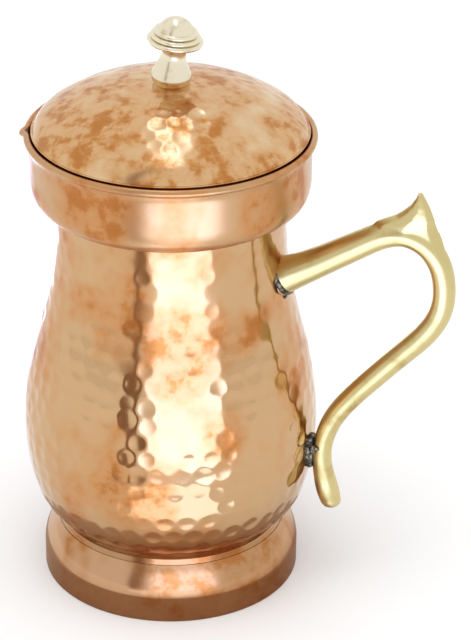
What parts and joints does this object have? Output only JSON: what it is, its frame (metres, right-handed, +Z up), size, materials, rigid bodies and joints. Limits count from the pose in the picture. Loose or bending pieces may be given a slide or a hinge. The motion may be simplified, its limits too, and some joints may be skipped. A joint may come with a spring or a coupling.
{
  "type": "copper water jug",
  "caption": "Lidded copper water jug with a hammered pear-shaped body and lid, a plain spun collar and foot, a cast brass side handle with a thumb rest, and a turned brass lid knob.",
  "frame": {"origin": "on the jug's axis, in the plane that the foot stands on", "axes": "+Z up along the jug's axis, +X towards the handle"},
  "size_m": [0.197, 0.1332, 0.2701],
  "materials": {
    "hammered_copper": "polished copper with hammer dimples and light tarnish",
    "spun_copper": "polished spun copper with light tarnish",
    "cast_brass": "filed and buffed casting",
    "turned_brass": "turned and buffed",
    "braze": "dull brazing",
    "solder": "dull soft solder",
    "rim_wire": "drawn iron wire"
  },
  "bodies": {
    "vessel": {"hammered_body": "hammered_copper", "mouth_collar": "spun_copper", "rim_wire": "rim_wire", "collar_seam": "solder", "base_disc": "spun_copper", "base_seam": "solder", "foot_ring": "spun_copper", "handle": "cast_brass", "handle_braze": "braze", "solder_pad": "solder"},
    "lid": {"lid_dome": "hammered_copper", "lid_skirt": "spun_copper", "knob": "turned_brass", "knob_washer": "turned_brass", "knob_screw": "turned_brass"}
  },
  "joints": [
    {"name": "lid_lift", "type": "slide", "parent": "vessel", "child": "lid", "axis": [0, 0, 1], "range_m": [0, 0.12]}
  ]
}
